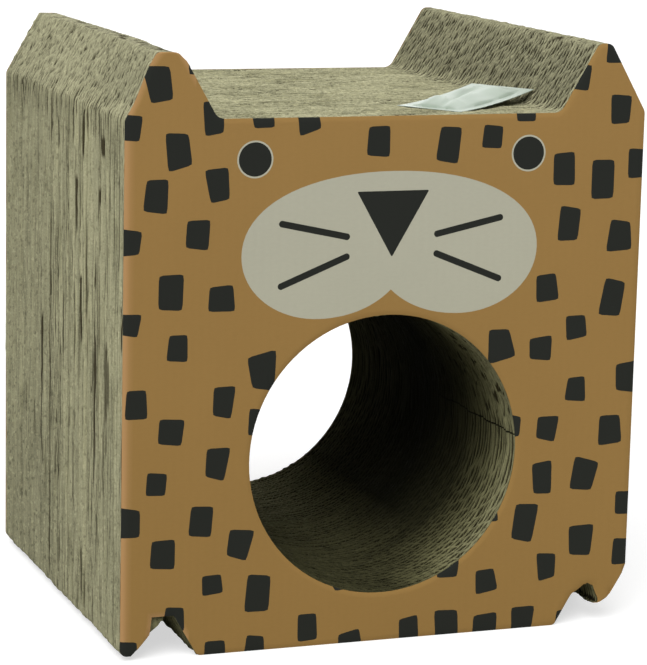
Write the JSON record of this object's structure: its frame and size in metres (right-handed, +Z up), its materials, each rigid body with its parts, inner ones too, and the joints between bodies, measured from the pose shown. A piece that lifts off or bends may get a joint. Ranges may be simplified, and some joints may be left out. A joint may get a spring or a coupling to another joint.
{
  "type": "cat scratcher",
  "caption": "Block of glued corrugated board sheets with two ears, a round tunnel from front to back, a printed animal face and a loose catnip sachet.",
  "frame": {"origin": "under the middle of the block, on the surface that it stands on", "axes": "+Z up, the printed front faces -Y, the tunnel runs along Y, +X to the right seen from the front"},
  "size_m": [0.35, 0.306, 0.386],
  "materials": {
    "printed_kraft": "matte",
    "plain_kraft": "matte",
    "corrugated_board": "matte",
    "sachet_film": "glossy",
    "dried_catnip": "matte"
  },
  "bodies": {
    "block": {"front_cover": "printed_kraft", "sheet_pair_01": "corrugated_board", "sheet_pair_02": "corrugated_board", "sheet_pair_03": "corrugated_board", "sheet_pair_04": "corrugated_board", "sheet_pair_05": "corrugated_board", "sheet_pair_06": "corrugated_board", "sheet_pair_07": "corrugated_board", "sheet_pair_08": "corrugated_board", "sheet_pair_09": "corrugated_board", "sheet_pair_10": "corrugated_board", "sheet_pair_11": "corrugated_board", "sheet_pair_12": "corrugated_board", "sheet_pair_13": "corrugated_board", "sheet_pair_14": "corrugated_board", "sheet_pair_15": "corrugated_board", "sheet_pair_16": "corrugated_board", "sheet_pair_17": "corrugated_board", "sheet_pair_18": "corrugated_board", "sheet_pair_19": "corrugated_board", "sheet_pair_20": "corrugated_board", "sheet_pair_21": "corrugated_board", "sheet_pair_22": "corrugated_board", "sheet_pair_23": "corrugated_board", "sheet_pair_24": "corrugated_board", "sheet_pair_25": "corrugated_board", "sheet_pair_26": "corrugated_board", "sheet_pair_27": "corrugated_board", "sheet_pair_28": "corrugated_board", "sheet_pair_29": "corrugated_board", "sheet_pair_30": "corrugated_board", "sheet_pair_31": "corrugated_board", "sheet_pair_32": "corrugated_board", "sheet_pair_33": "corrugated_board", "sheet_pair_34": "corrugated_board", "rear_cover": "plain_kraft"},
    "sachet": {"sachet_lower_film": "sachet_film", "sachet_upper_film": "sachet_film", "catnip_filling": "dried_catnip"}
  },
  "joints": [
    {"name": "sachet_lift", "type": "slide", "parent": "block", "child": "sachet", "axis": [0, 0, 1], "range_m": [0, 0.12]}
  ]
}
